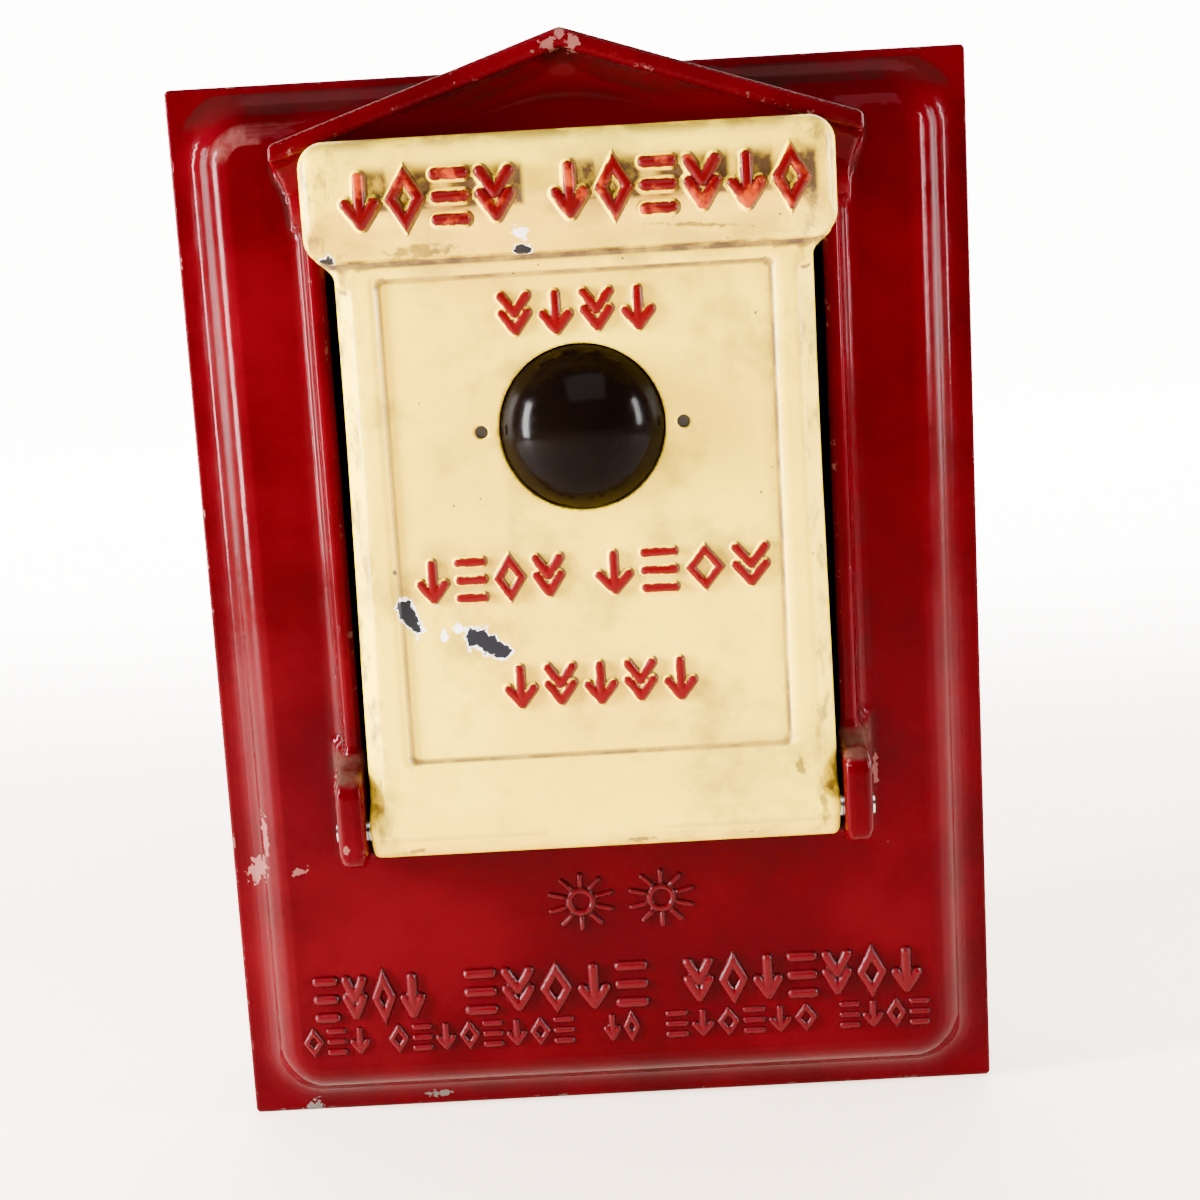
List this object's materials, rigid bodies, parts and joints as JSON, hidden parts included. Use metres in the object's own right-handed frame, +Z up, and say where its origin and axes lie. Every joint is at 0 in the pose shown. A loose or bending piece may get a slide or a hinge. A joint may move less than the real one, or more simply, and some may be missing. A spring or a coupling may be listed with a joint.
{
  "type": "manual call point",
  "caption": "Wall-mounted manual call point: red cast cover with a roof-shaped hood, cream pull-handle door hinged at its foot, dark dome lens, and a pull-down lever that drives a clockwork.",
  "frame": {"origin": "centre of the back box's rear face, which is the centre of its four fixing holes", "axes": "+X to the right of a person facing the front, +Y into the wall, +Z up"},
  "size_m": [0.19, 0.0965, 0.2642],
  "materials": {
    "red_enamel": "thick glossy enamel on cast aluminium, worn at the edges",
    "cream_enamel": "aged semi-gloss enamel on cast aluminium, with raised red marks",
    "grey_enamel": "satin enamel",
    "black_rubber": "matt",
    "plated_steel": "dull plated",
    "bright_steel": "turned",
    "spring_steel": "dark oil-tempered",
    "plated_sheet": "yellow-passivated sheet steel",
    "cast_zinc": "as-cast, satin",
    "green_screw": "green lacquer",
    "dark_glass": "polished, nearly black",
    "brass": "lightly tarnished",
    "bronze": "lightly tarnished",
    "lever_casting": "tumbled casting",
    "phenolic": "moulded phenolic, satin",
    "lead_insulation": "rubber-covered wire"
  },
  "bodies": {
    "station": {"front_cover": "red_enamel", "cover_gasket": "black_rubber", "cover_screws": "plated_steel", "back_box": "grey_enamel", "box_pillars": "plated_steel", "conduit_hub": "cast_zinc", "hub_locknut": "plated_steel", "earth_screw": "green_screw", "door_hinge_pin": "bright_steel", "door_spring": "spring_steel", "door_buffers": "black_rubber", "mechanism_frame": "plated_sheet", "frame_screws": "plated_steel", "bearing_bushes": "brass", "stop_pins": "bright_steel", "lever_spring": "spring_steel", "contact_leaves": "bronze", "contact_insulators": "phenolic", "contact_screws": "plated_steel", "terminal_block": "phenolic", "terminal_screws": "brass", "block_screws": "plated_steel", "signal_leads": "lead_insulation"},
    "door": {"handle_door": "cream_enamel", "lens_dome": "dark_glass", "lens_gasket": "black_rubber", "lens_retainer": "brass", "lens_screws": "spring_steel"},
    "lever": {"pull_lever": "lever_casting", "lever_shaft": "bright_steel", "shaft_clips": "spring_steel", "winding_sector": "bronze"},
    "code_train": {"code_arbor": "bright_steel", "code_pinion": "brass", "code_wheel": "brass", "train_wheel": "brass"},
    "governor": {"governor_arbor": "bright_steel", "governor_fly": "brass"}
  },
  "joints": [
    {"name": "door_hinge", "type": "hinge", "parent": "station", "child": "door", "pos_m": [0, -0.075, -0.05], "axis": [1, 0, 0], "range_deg": [0, 95], "stiffness_Nm_per_rad": 0.4, "springref_deg": -28.65, "deforming": ["door_spring"]},
    {"name": "lever_pull", "type": "hinge", "parent": "station", "child": "lever", "pos_m": [0, -0.035, -0.012], "axis": [1, 0, 0], "range_deg": [0, 72], "stiffness_Nm_per_rad": 0.25, "springref_deg": -34.38, "deforming": ["lever_spring"]},
    {"name": "code_spin", "type": "hinge", "parent": "station", "child": "code_train", "pos_m": [0, -0.0224, 0.00982], "axis": [1, 0, 0], "range_deg": [-361, 1]},
    {"name": "governor_spin", "type": "hinge", "parent": "station", "child": "governor", "pos_m": [0, -0.02526, 0.02607], "axis": [1, 0, 0], "range_deg": [-2, 1442]}
  ],
  "couplings": [
    {"joint": "code_spin", "follows": "lever_pull", "ratio": -5},
    {"joint": "governor_spin", "follows": "lever_pull", "ratio": 20}
  ]
}
